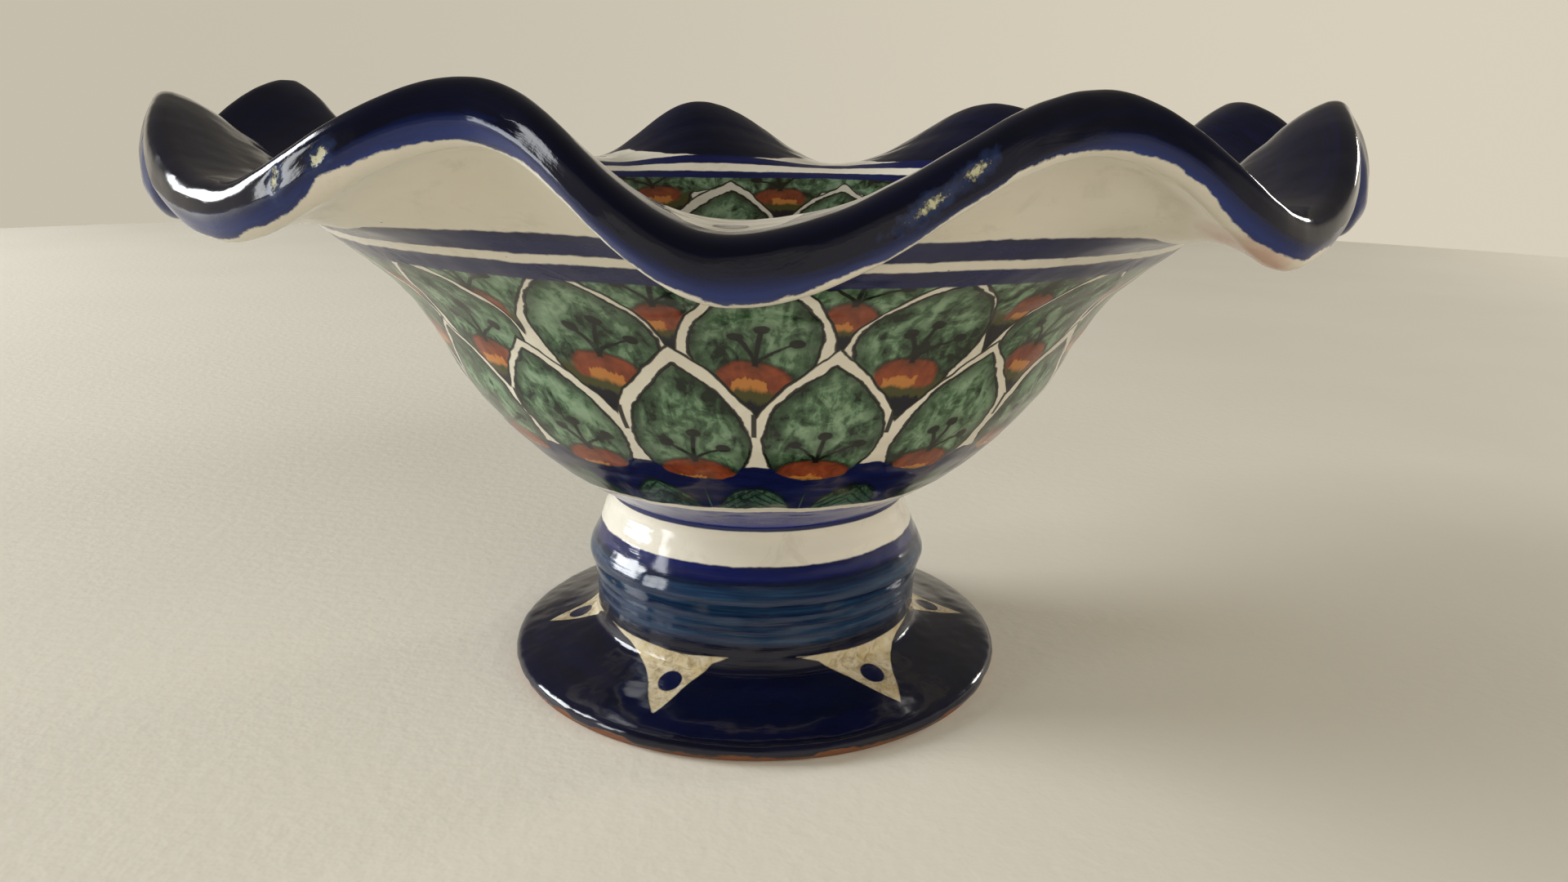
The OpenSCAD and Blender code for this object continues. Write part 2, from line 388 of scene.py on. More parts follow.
def grid_object(name, points, normals, fields, first_pole=None, last_pole=None):
    """A sheet of quads closed round the axis, with its normals and painted fields.

    A pole is a height on the axis that the first or the last ring is joined to."""
    count, rows = points.shape[:2]
    here = np.arange(count)[:, None] * rows + np.arange(rows - 1)
    ahead = np.roll(here, -1, axis=0)
    faces = np.stack([here, ahead, ahead + 1, here + 1], -1).reshape(-1, 4).tolist()
    places, facings = points.reshape(-1, 3), normals.reshape(-1, 3)
    values = {field: np.ravel(value) for field, value in fields.items()}
    for height, row in ((first_pole, 0), (last_pole, rows - 1)):
        if height is None:
            continue
        ring = np.arange(count) * rows + row
        beside = np.roll(ring, -1)
        pair = (beside, ring) if row == 0 else (ring, beside)
        faces += [[a, b, len(places)] for a, b in zip(pair[0].tolist(), pair[1].tolist())]
        places = np.vstack([places, (0, 0, height)])
        facings = np.vstack([facings, (0, 0, -1 if row == 0 else 1)])
        values = {field: np.r_[value, value[row]] for field, value in values.items()}
    mesh = bpy.data.meshes.new(name)
    mesh.from_pydata((places * MM).tolist(), [], faces)
    mesh.shade_smooth()
    mesh.normals_split_custom_set_from_vertices(facings.tolist())
    for field, value in values.items():
        stored = mesh.attributes.new(field, "FLOAT", "POINT")
        stored.data.foreach_set("value", value.astype(np.float32))
    return add_object(name, mesh)


def add_piece(name, points, normals, fields, material, slot, nodes, **poles):
    """One visible piece that rides on the part and stands for a CAD node."""
    piece = grid_object(name, points, normals, fields, **poles)
    piece.data.materials.append(material)
    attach(piece, "root")
    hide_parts(*nodes)


def bowl_section(lip_t):
    """The glazed skin's section at every angle, for a thickness of the lip in mm."""
    line, slope, thick = flange(swing(), lip_t)
    side = outward(slope) * (thick / 2)[..., None]
    outside = np.tile(EVEN_OUTSIDE, (AROUND, 1, 1))
    top = (line - side)[:, ::-1]
    cap = lip(line[:, -1], slope[:, -1], thick[:, -1])
    inside = inner_wall(top[:, -1])
    stretches = [outside, (line + side)[:, 1:], cap[:, 1:], top[:, 1:], inside[:, 1:]]
    return np.concatenate(stretches, axis=1)


def ragged(size, seed, run=0):
    """Waver of about unit size round the skin and along it, with waves of a size in mm."""
    turned = np.radians(ANGLES)[:, None]
    place = np.broadcast_arrays(RAGGED_R * np.sin(turned), RAGGED_R * np.cos(turned), run)
    return waves(np.stack(place, -1), size, seed)


# -------------------- materials

def srgb(red, green, blue):
    """A colour from 0 to 255 as the linear colour that Blender's sockets take."""
    parts = [c / 255 for c in (red, green, blue)]
    return tuple(c / 12.92 if c <= 0.04045 else ((c + 0.055) / 1.055) ** 2.4 for c in parts) + (1,)


CREAM = srgb(229, 224, 210)
CREAM_SHADE = srgb(207, 197, 171)
GREEN = srgb(90, 122, 90)
GREEN_DEEP = srgb(19, 33, 20)
GREEN_PALE = srgb(146, 172, 142)
OLIVE = srgb(68, 67, 30)
LINE = srgb(8, 11, 7)
RUST = srgb(142, 68, 38)
RUST_DEEP = srgb(98, 44, 28)
AMBER = srgb(188, 122, 58)
NAVY = srgb(12, 16, 50)
INK = srgb(7, 9, 26)
BLUE = srgb(21, 32, 98)
# Paler cobalt under the lip's ridge, partly painted light from below
BLUE_BRIGHT = srgb(24, 50, 124)
BLUE_WASH = srgb(46, 82, 112)
TERRACOTTA = srgb(176, 98, 62)
TERRACOTTA_PALE = srgb(205, 138, 96)


class Field:
    """A node's output, with arithmetic that adds the nodes for it."""

    def __init__(self, paint, socket):
        self.paint, self.socket = paint, socket

    def __add__(self, other):
        return self.paint.math("ADD", self, other)

    def __sub__(self, other):
        return self.paint.math("SUBTRACT", self, other)

    def __rsub__(self, other):
        return self.paint.math("SUBTRACT", other, self)

    def __mul__(self, other):
        return self.paint.math("MULTIPLY", self, other)

    def __truediv__(self, other):
        return self.paint.math("DIVIDE", self, other)

    def __neg__(self):
        return self * -1

    def __abs__(self):
        return self.paint.math("ABSOLUTE", self)

    __radd__, __rmul__ = __add__, __mul__


class Paint:
    """Builds the nodes of one material from expressions in millimetres."""

    def __init__(self, name):
        self.material = bpy.data.materials.new(name)
        self.material.use_nodes = True
        self.nodes = self.material.node_tree.nodes
        self.shader = self.nodes["Principled BSDF"]
        place = self.node("ShaderNodeVectorMath", operation="SCALE")
        self.plug(self.node("ShaderNodeTexCoord").outputs["Object"], place.inputs[0])
        place.inputs["Scale"].default_value = 1 / MM
        self.place = place.outputs[0]
        split = self.node("ShaderNodeSeparateXYZ")
        self.plug(self.place, split.inputs[0])
        self.x, self.y, self.z = (Field(self, out) for out in split.outputs)

    def node(self, kind, **settings):
        made = self.nodes.new(kind)
        for name, value in settings.items():
            setattr(made, name, value)
        return made

    def plug(self, value, socket):
        """Link a field to a socket, or set the socket to a constant."""
        if isinstance(value, Field):
            value = value.socket
        if isinstance(value, bpy.types.NodeSocket):
            self.material.node_tree.links.new(value, socket)
        else:
            socket.default_value = value

    def math(self, operation, *values, clamp=False):
        made = self.node("ShaderNodeMath", operation=operation, use_clamp=clamp)
        for value, socket in zip(values, made.inputs):
            self.plug(value, socket)
        return Field(self, made.outputs[0])

    def smaller(self, a, b):
        return self.math("MINIMUM", a, b)

    def larger(self, a, b):
        return self.math("MAXIMUM", a, b)

    def length(self, a, b):
        return self.math("SQRT", a * a + b * b)

    def inside(self, field, soft=0.4):
        """1 where a distance is positive, 0 where it is negative, soft over some mm."""
        return self.math("MULTIPLY_ADD", field, 1 / soft, 0.5, clamp=True)

    def stored(self, name):
        made = self.node("ShaderNodeAttribute", attribute_type="GEOMETRY", attribute_name=name)
        return Field(self, made.outputs["Fac"])

    def vector(self, x, y, z):
        made = self.node("ShaderNodeCombineXYZ")
        for value, socket in zip((x, y, z), made.inputs):
            self.plug(value, socket)
        return made.outputs[0]

    def noise(self, size, detail=3, rough=0.55, warp=0.0, at=None):
        """Noise about 0, from roughly -0.5 to 0.5, with lumps of a size in mm."""
        made = self.node("ShaderNodeTexNoise")
        self.plug(at or self.place, made.inputs["Vector"])
        values = {"Scale": 1 / size, "Detail": detail, "Roughness": rough, "Distortion": warp}
        for name, value in values.items():
            made.inputs[name].default_value = value
        return Field(self, made.outputs["Fac"]) - 0.5

    def between(self, below, above, share):
        """Mix of two colours or fields."""
        made = self.node("ShaderNodeMix", data_type="RGBA", clamp_factor=True)
        self.plug(share, made.inputs["Factor"])
        for value, socket in zip((below, above), (s for s in made.inputs if s.type == "RGBA")):
            self.plug(value, socket)
        return next(s for s in made.outputs if s.type == "RGBA")

    def over(self, colour, paint, field, soft=0.4, share=1):
        """A colour with a share of a paint laid over it where a distance is positive."""
        zone = self.inside(field, soft)
        return self.between(colour, paint, zone if share == 1 else zone * share)

    def speckle(self, size, share):
        """1 in scattered round specks of about a size in mm, on some share of the cells."""
        cells = self.node("ShaderNodeTexVoronoi", feature="F1")
        self.plug(self.place, cells.inputs["Vector"])
        cells.inputs["Scale"].default_value = 1 / (6 * size)
        tone = self.node("ShaderNodeSeparateColor")
        self.plug(cells.outputs["Color"], tone.inputs[0])
        chosen = self.inside(share - Field(self, tone.outputs[0]), 0.01)
        return chosen * self.inside(0.09 - Field(self, cells.outputs["Distance"]), 0.06)

    def finish(self, colour, relief, roughness, ior=1.5):
        """Colour, relief in mm and roughness go to the shader."""
        self.plug(colour, self.shader.inputs["Base Color"])
        self.plug(roughness, self.shader.inputs["Roughness"])
        self.shader.inputs["IOR"].default_value = ior
        bump = self.node("ShaderNodeBump")
        bump.inputs["Distance"].default_value = MM
        self.plug(relief, bump.inputs["Height"])
        self.plug(bump.outputs[0], self.shader.inputs["Normal"])
        return self.material


def cream_glaze(p):
    """Tin white with warm clouds, faint dirt and pinholes."""
    colour = p.over(CREAM, CREAM_SHADE, p.noise(34, 4) + 0.02, 0.7, 0.45)
    smudge = p.noise(15, 5, 0.65, 0.6) - 0.17
    colour = p.over(colour, srgb(150, 142, 122), smudge, 0.22, 0.35)
    return p.between(colour, srgb(70, 62, 50), p.speckle(0.5, 0.06) * 0.8)


def brushed(p, along_run, thin, thick, wash, reach=60):
    """Cobalt laid on by a brush that goes round: streaks from thin to thick paint.

    The wash shifts all of it towards thin paint, and the reach is a streak's length in mm."""
    def streaks(long, high, detail, warp):
        return p.noise(1, detail, 0.6, warp, p.vector(p.x / long, p.y / long, along_run / high))

    load = streaks(reach, 2.4, 4, 0.5) * 0.7 + streaks(0.4 * reach, 0.8, 3, 0.2) * 0.45 + wash
    return p.between(thick, thin, p.inside(load, 0.55)), load


def glaze_relief(p):
    """The fine orange-peel waver of a fired glaze, in mm."""
    return p.noise(8, 2) * 0.09 + p.noise(2.4, 2) * 0.02


def stamens(p, side, rise, number):
    """Distance into three hand-drawn strokes with dots that stand on the eye."""
    found = None
    for k, (across, up) in enumerate(((-5.5, 7.4), (2.2, 11.8), (9, 6.6))):
        chance = p.math("FRACT", number * (17.3 + 11.9 * k))
        tip = (chance - 0.5) * 3.4 + across
        top = (chance - 0.5) * 2.2 + up
        part = p.math("DIVIDE", rise, top, clamp=True)
        bend = tip * p.math("POWER", part, 1.5)
        reach = p.smaller(rise + 1, top - rise)
        lean = 0.85 if abs(across) < 4 else 0.68
        stroke = p.smaller(0.5 - abs(side - bend) * lean, reach)
        dot = 1.5 - p.length((side - tip) * 0.8, rise - top)
        part_found = p.larger(stroke, dot)
        found = part_found if found is None else p.larger(found, part_found)
    return found


def feather_colours(p, cream, waver, crowded=0):
    """Colour and relief of the feather zone; crowded widens the upper feathers, in mm."""
    run = p.stored("run")
    parts = ("side", "number", "green", "edge")
    low_side, low_number, low_green, low_edge = (p.stored("low_" + part) for part in parts)
    high_side, high_number, high_green, high_edge = (p.stored("high_" + part) for part in parts)
    run_drawn = run + waver
    swell = p.noise(12, 2) * 3.4 + waver * 0.4
    low_green, low_edge = low_green + waver, low_edge + swell
    high_green, high_edge = high_green + waver + crowded, high_edge + swell + crowded
    in_low = p.math("GREATER_THAN", low_edge, 0)
    in_high = p.math("GREATER_THAN", high_edge, 0)

    def pick(low, high, top):
        """A value of the low, the high or the topmost feathers, whichever is in front."""
        behind = in_high * (high - top) + top
        return behind + in_low * (low - behind)

    side = pick(low_side, high_side, low_side)
    number = pick(low_number, high_number, low_number)
    green = pick(low_green, high_green, 30 + waver)
    chance = p.math("FRACT", number * 7.7)
    rise = run_drawn - pick(*EYE_RUNS) + chance * 1.6 - 0.8
    rise = rise + side * (0.2 - chance * 0.22)
    half, above, below = pick(9.6, 8.8, 6.4), pick(5.6, 4.8, 6.6), pick(4, 9, 9)

    mottle = p.noise(5.5, 4, 0.6, 0.9)
    strokes = p.noise(1, 3, 0.55, 0.6, p.vector(side / 3.2, rise / 8, number * 40))
    clouds = p.noise(13, 3, 0.5, 0.4)
    fine = p.noise(2.4, 3, 0.6, 0.5)
    tone = mottle * 1.6 + strokes * 1.4 + clouds * 1.3 + fine * 0.35
    colour = p.over(GREEN_DEEP, GREEN, tone + 0.12, 0.5)
    colour = p.over(colour, GREEN_PALE, tone - 0.2, 0.42, 0.8)
    pooled = 2.2 - green + mottle * 10 + strokes * 4
    colour = p.over(colour, GREEN_DEEP, pooled, 3.4, 0.7)

    # The eye: rust on top, amber brushed up into it, olive and black towards the point
    bristles = p.noise(1, 3, 0.6, 0.1, p.vector(side / 1.3, rise / 14, number * 40))
    tall = p.math("GREATER_THAN", rise, 0) * (above - below) + below
    eye = (1 - p.length(side / half, rise / tall)) * 4.6 + mottle * 0.9
    amber_top = bristles * 3.4 + mottle * 5 - pick(2, 1.1, 1.3) - abs(side) * 0.14
    amber = p.smaller(amber_top - rise, half * 0.5 + mottle * 5 - abs(side + chance * 3))
    olive = pick(-3.6, -4.6, -4.2) + bristles * 3 - rise
    inky = pick(-4.6, -8, -6.2) + bristles * 4 - rise
    low_part = p.smaller(-rise - 1.5, abs(side) * 0.5 - rise - 5)
    colour = p.over(colour, OLIVE, low_part + mottle * 2, 2.4)
    rust = p.over(RUST_DEEP, RUST, mottle * 1.4 + strokes + 0.12, 0.6)
    eye_colour = p.over(rust, AMBER, amber, 0.5)
    eye_colour = p.over(eye_colour, OLIVE, olive, 1.4)
    colour = p.over(colour, eye_colour, eye, 0.5)
    colour = p.over(colour, INK, inky, 1.2)
    shade = p.inside(0.5 - abs(eye + 0.1), 0.8) * p.inside(rise + 0.5, 2)
    colour = p.between(colour, LINE, shade * 0.7)

    lines = stamens(p, side, rise - above + 0.6, number)
    faded = p.inside(p.noise(7, 2) + 0.3, 0.4)
    smudge = p.inside(lines + 0.9 + mottle * 5, 2.2) * 0.5
    colour = p.between(colour, GREEN_DEEP, smudge * p.inside(rise, 1))
    colour = p.between(colour, LINE, p.inside(lines + mottle * 0.7, 0.35) * (0.5 + 0.45 * faded))

    broken = p.noise(8, 3) * 0.7
    colour = p.over(colour, cream, -green, 0.3)
    green_line = 0.46 + broken - abs(green)
    border_low = 0.4 + broken - abs(low_edge)
    border_high = p.smaller(0.4 + broken - abs(high_edge), 0.2 - low_edge)
    drip = p.smaller(0.66 - abs(high_side), p.smaller(67 - run_drawn, run_drawn - 59))
    outline = p.larger(p.larger(green_line, drip), p.larger(border_low, border_high))
    drawn = p.smaller(outline, run_drawn - 43.5)
    colour = p.over(colour, LINE, drawn, 0.3, 0.96)

    # Blue scallops rise between the lowest feathers, over green leaves
    scallop = 46 - high_side * high_side * 0.03 - run_drawn
    blue_zone = p.larger(BLUE_TOP - run_drawn, p.smaller(scallop, 0.5 - low_green))
    under_eye = p.smaller(-eye * 1.6, p.smaller(-rise - 0.6, 44.5 - run_drawn))
    blue_zone = p.larger(blue_zone, under_eye)
    sea, _ = brushed(p, run, BLUE, NAVY, -0.14, 20)
    colour = p.over(colour, sea, blue_zone + mottle * 0.8, 0.5)
    lens = (1 - p.length(high_side / 9.6, (run_drawn - 17) / 18)) * 9
    fronds = p.noise(1, 2, 0.5, 1.2, p.vector(high_side / 2.2, run / 4.2, high_number * 30))
    leaf = p.over(GREEN_DEEP, srgb(70, 104, 80), fronds + clouds + 0.05)
    colour = p.over(colour, leaf, lens + mottle * 2.5, 0.7, 0.95)
    veins = 0.4 - abs(p.math("PINGPONG", abs(high_side) + run_drawn * 0.8, 3.2) - 1.6)
    veins = p.smaller(p.larger(veins, 0.4 - abs(lens)), lens + 0.5)
    colour = p.over(colour, LINE, veins + mottle, 0.5, 0.8)

    colour = p.over(colour, cream, WHITE_TOP - run_drawn, 0.5)
    ring, _ = brushed(p, run, srgb(26, 48, 148), BLUE, 0.1, 30)
    colour = p.over(colour, ring, RING_TOP - run_drawn, 0.5)
    return colour, p.inside(green, 1) * 0.03 + p.inside(drawn, 0.6) * 0.03


def feather_waver(p):
    """How far the painter's hand strays from the drawn feathers, in mm."""
    return p.noise(9, 3) * 2.8 + p.noise(2.5, 2) * 0.9


def outside_glaze():
    """Feathers below, then two blue bands on the turn of the flange."""
    p = Paint("outside glaze")
    cream = cream_glaze(p)
    colour, relief = feather_colours(p, cream, feather_waver(p))
    height = p.z + p.noise(22, 3) * 1.6 + p.noise(3, 3) * 0.6
    above = p.stored("above_turn")
    band, load = brushed(p, p.z, BLUE, NAVY, -0.05, 40)
    zone = p.inside(height - LOWER_BAND[0], 0.4)
    colour = p.between(colour, band, zone)
    colour = p.over(colour, cream, height - LOWER_BAND[1])
    below_top = p.smaller(UPPER_BAND[1] - height, 23 - above + p.noise(5, 3) * 4)
    upper = p.smaller(height - UPPER_BAND[0], below_top)
    colour = p.over(colour, band, upper)
    shine = 0.16 + p.noise(12, 3) * 0.1
    return p.finish(colour, glaze_relief(p) + relief + zone * load * 0.03, shine, 1.42)


def inside_glaze():
    """The same feathers on the inside wall, darkened as painted shade, and a rosette on the floor.
    """
    p = Paint("inside glaze")
    cream, waver = cream_glaze(p), feather_waver(p)
    run = p.stored("run") + waver * 0.6
    colour, relief = feather_colours(p, cream, waver, p.inside(run - 83, 5) * 12)
    colour = p.over(colour, cream, 4.6 - run, 0.5)
    # Painted shade: a warm dark brown laid over the inside's feathers and cream, for the shadow
    # the rim casts into the bowl
    colour = p.between(colour, srgb(38, 30, 16), 0.4)
    line, _ = brushed(p, run, BLUE, NAVY, -0.12, 30)
    colour = p.over(colour, line, run - INSIDE_LINE)
    radius = p.length(p.x, p.y) + waver
    turn_angle = p.math("ARCTAN2", p.x, p.y)
    petal = abs(p.math("SINE", turn_angle * 4))
    flower = p.smaller(petal * 15 + 12 - radius, radius - 9)
    colour = p.over(colour, line, flower, 0.6)
    heart = p.over(RUST_DEEP, RUST, p.noise(6, 3), 0.6)
    colour = p.over(colour, heart, 6.4 - radius, 0.8)
    hoop = 1.5 - abs(radius - 35)
    colour = p.over(colour, line, hoop, 0.5)
    shine = 0.16 + p.noise(12, 3) * 0.1
    return p.finish(colour, glaze_relief(p) + relief, shine, 1.42)


def rim_glaze():
    """White under the flange, then cobalt round the lip, darker on its face as painted shade and
    paler under its ridge as painted light from below, with a few chips.
    """
    p = Paint("rim glaze")
    cobalt = p.stored("cobalt") + p.noise(5, 4, 0.65) * 2.3 + p.noise(1.4, 2) * 0.6
    face, chip, lobe = p.stored("face"), p.stored("chip"), p.stored("lobe")
    cream = cream_glaze(p)
    blush = p.stored("blush")
    cream = p.over(cream, srgb(176, 112, 88), blush + p.noise(5, 3) * 5, 6, 0.6)
    # One cobalt in two copies: a paler one under the lip's ridge as painted light from below, and
    # a darker one on the outward face as painted shade
    under, load = brushed(p, cobalt, BLUE_BRIGHT, NAVY, 0.06)
    dark, _ = brushed(p, face, NAVY, INK, -0.2)
    paint = p.over(under, dark, face + load * 6, 3)
    on = p.smaller(cobalt, lobe + p.noise(6, 3) * 2.4)
    painted = p.inside(on, 0.45)
    colour = p.between(cream, paint, painted)
    worn = p.inside(chip + p.noise(1.2, 4, 0.75) * 3.4, 0.5)
    # Painted reflection: a paler blue sheen laid round the chips
    chip_sheen = chip + 1.2 + p.noise(2.2, 3) * 4
    colour = p.over(colour, srgb(48, 66, 112), chip_sheen, 1.6, 0.5)
    colour = p.between(colour, srgb(190, 188, 156), worn)
    relief = glaze_relief(p) + painted * (0.07 + load * 0.05) - worn * 0.25
    shine = 0.15 + p.noise(10, 3) * 0.08 - painted * 0.05 + worn * 0.35
    return p.finish(colour, relief, shine, 1.46)


def flange_glaze():
    """Cobalt lobes on the crests and dots in the troughs, then two blue lines."""
    p = Paint("flange glaze")
    waver = p.noise(10, 3) * 1.2 + p.noise(2.5, 2) * 0.5
    reach = p.stored("reach") + waver * 0.7
    dark, load = brushed(p, reach, NAVY, INK, -0.1, 24)
    line, _ = brushed(p, reach, BLUE, NAVY, -0.08, 40)
    colour = cream_glaze(p)
    on = p.larger(p.stored("lobe") + waver, p.stored("dot") + waver)
    colour = p.over(colour, dark, on, 0.5)
    first = p.smaller(reach - FLANGE_LINE[0], FLANGE_LINE[1] - reach)
    lines = p.larger(first, reach - LAST_LINE)
    colour = p.over(colour, line, lines, 0.45)
    painted = p.inside(p.larger(on, lines), 0.6)
    shine = 0.15 + p.noise(10, 3) * 0.08 - painted * 0.05
    return p.finish(colour, glaze_relief(p) + painted * (0.06 + load * 0.04), shine, 1.46)


def stem_glaze():
    """White neck, brushed blue collar and a dark foot with cream triangles."""
    p = Paint("stem glaze")
    waver = p.noise(12, 3) * 1.1 + p.noise(2.6, 2) * 0.5
    height = p.z + waver * 0.8
    triangle, dot = p.stored("triangle") + waver * 0.6, p.stored("dot") + waver * 0.5
    dark, load = brushed(p, p.z, NAVY, INK, -0.14, 40)
    wash, wash_load = brushed(p, p.z * 1.3, BLUE_WASH, srgb(8, 17, 54), -0.02, 45)
    streak = p.noise(1, 4, 0.6, 0.3, p.vector(p.x / 30, p.y / 30, p.z / 1.5))
    wash = p.over(wash, srgb(9, 16, 50), streak, 0.3, 0.75)
    colour = p.over(dark, wash, p.smaller(height - WASH[0], WASH[1] - height), 2.5)
    ring, _ = brushed(p, p.z, BLUE, NAVY, 0, 40)
    colour = p.over(colour, ring, height - COLLAR_Z, 1.2)
    cream = cream_glaze(p)
    tan = p.between(cream, srgb(186, 164, 110), 0.6 + p.noise(4, 4) * 1.2)
    grime = p.inside(p.noise(3.2, 4, 0.7, 0.8) + dot * 0.012 - 0.02, 0.24)
    tan = p.between(tan, srgb(122, 98, 56), grime * 0.75)
    colour = p.over(colour, tan, triangle)
    colour = p.over(colour, NAVY, p.smaller(dot, triangle - 0.3))
    neck = p.inside(height - NECK_Z, 0.45)
    colour = p.between(colour, cream, neck)
    colour = p.over(colour, ring, p.z + waver * 0.3 - JOINT_Z + 1.1)
    colour = p.over(colour, srgb(34, 20, 22), 3 - p.z + waver, 1.2, 0.7)
    relief = glaze_relief(p) + load * 0.05 + wash_load * 0.06 + (1 - neck) * 0.05
    shine = 0.13 + p.noise(10, 3) * 0.09 + grime * 0.05
    return p.finish(colour, relief, shine, 1.53)


def bare_clay(name, tint=TERRACOTTA_PALE):
    """Low-fired clay: sandy, with fine turning marks and paler slip in the hollows."""
    p = Paint(name)
    grain = p.noise(0.7, 4, 0.7)
    clouds = p.noise(18, 4)
    radius = p.length(p.x, p.y)
    marks = p.noise(1, 3, 0.5, 0.1, p.vector(0, p.z / 1.6, radius / 1.6))
    colour = p.over(TERRACOTTA, tint, clouds + grain * 0.6 + marks * 0.3, 0.9)
    colour = p.over(colour, srgb(92, 66, 50), 4 - p.z + clouds * 5, 4, 0.75)
    colour = p.between(colour, srgb(94, 56, 38), p.speckle(0.6, 0.25) * 0.6)
    return p.finish(colour, grain * 0.1 + marks * 0.16, 0.78 + grain * 0.2, 1.45)


# -------------------- bowl

# Run of the feather zone that the lip's inner edge would have on the inside
INSIDE_START = 135.3
# Chips on the lip: (angle, run from under the lip, half length, half height)
CHIPS = [(-28.2, 8.8, 1.5, 1.3), (-31.6, 10, 0.9, 1.8), (9.4, 9.4, 2.6, 0.9),
         (12.3, 10, 1.8, 1.1), (131, 9, 2.2, 1.4), (-118, 10, 1.6, 1.2)]
LIP_R = 165
# Where the cobalt starts higher or lower on the lip, and where its dark face of painted shade
# reaches further down: (angle, mm, half width in degrees)
EDGE_STEPS = [(-79, -7, 9), (79, -7, 9), (40, 2.6, 6)]
FACE_STEPS = [(18, 2, 9), (-2, 1.3, 10)]
# Half width of the cream between two cobalt lobes, by the way in from the lip
GAP_AT = [2.5, 4.5, 7, 13, 20, 26, 31, 33]
GAP = [-6, 2, 9, 12, 12.5, 16.5, 22, 34]
# Troughs where the cobalt runs right across, and the middle of the pink blush
COVERED = (-39, 40)
BLUSH_AT = 36.5
LOBE_END = 33.4


def arc(centre, radius):
    """Distance in mm round the axis from an angle to every column of the skin."""
    return np.radians(turned_by(ANGLES, centre))[:, None] * radius


def from_troughs(radius):
    """Distance in mm round the axis from the nearest trough."""
    away = [arc(a, radius) for a, v in RUFFLES if v < 0]
    return np.min(np.abs(away), axis=0)


def bowl_skin():
    """Points of the glazed skin, and how far its rows lie along it and round the lip."""
    wander = ragged(70, 11)[:, 0]
    section = bowl_section(LIP_T - 0.25 + 0.22 * np.clip(wander, -1, 1))
    along_rows = lengths(section[0])
    fade = 1 - np.exp(-(along_rows / 5) ** 2)
    points = uneven(turn(section), fade)
    rings = np.sin(along_rows / 1.55 + 1.3 * ragged(120, 12, along_rows))
    wheel = np.full(points.shape[1], 0.05)
    wheel[TURN_ROW:TOP_ROW + 10] = 0.012
    points = pushed(points, rings * wheel * fade)
    step = np.linalg.norm(np.diff(section[:, LIP_ROW:TOP_ROW + 1], axis=1), axis=-1)
    round_lip = np.concatenate([np.zeros((AROUND, 1)), np.cumsum(step, axis=1)], axis=1)
    return points, along_rows, round_lip


def lobe(reach, radius):
    """Distance into the cobalt lobes, by the way in from the lip's inner edge."""
    gap = np.interp(reach, GAP_AT, GAP)
    for centre in COVERED:
        gap = gap - 20 * np.exp(-(arc(centre, radius) / 22) ** 2) * (reach < 26)
    found = (from_troughs(radius) - gap) * 0.9
    return np.where(reach < GAP_AT[0], 6, np.minimum(found, LOBE_END - reach))


def soft_steps(steps):
    """Steps in mm at some angles, eased away on both sides, for every column of the skin."""
    shapes = [mm * np.exp(-(turned_by(ANGLES, angle) / wide) ** 2) for angle, mm, wide in steps]
    return sum(shapes)[:, None]


def lip_fields(points, round_lip):
    """What is painted from the turn of the flange to the lip's inner edge."""
    w = swing()[:, None]
    hang = np.maximum(0, -w) ** 1.5
    back = -np.arange(FLANGE_ROWS, 0, -1) * FLANGE_LEN / FLANGE_ROWS
    run = np.concatenate([np.tile(back, (AROUND, 1)), round_lip], axis=1)
    edge = 4 + 0.9 * hang + soft_steps(EDGE_STEPS) + 0.7 * ragged(16, 13)
    chip = np.full(run.shape, -20.0)
    for angle, high, long, tall in CHIPS:
        near = (1 - np.hypot(arc(angle, LIP_R) / long, (run - high) / tall)) * min(long, tall)
        chip = np.maximum(chip, near)
    radius = np.hypot(points[..., 0], points[..., 1])
    lobes = np.full(run.shape, 6.0)
    lobes[:, FLANGE_ROWS:] = lobe(round_lip - round_lip[:, -1:], radius[:, FLANGE_ROWS:])
    blush = 9 - np.hypot(arc(BLUSH_AT, LIP_R), run + 2)
    face = run - 7.2 - 2.6 * hang + soft_steps(FACE_STEPS)
    return {"cobalt": run - edge, "face": face, "chip": chip, "blush": blush, "lobe": lobes}


def bowl_clay(points, normals):
    """The clay under the glaze as a closed solid, with the flat foot it is luted by."""
    under = points - normals * GLAZE_T
    base = np.array([(1.5, JOINT_Z), (20, JOINT_Z), (40, JOINT_Z)])
    bottom = turn(base)
    solid = np.concatenate([bottom, under[:, :1], under[:, 3::3]], axis=1)[::2]
    solid[:, 3, 2] = JOINT_Z
    add_piece("bowl_clay", solid, facing(solid), {}, bare_clay("bowl clay"), "clay",
              ("bowl",), first_pole=JOINT_Z, last_pole=solid[0, -1, 2])


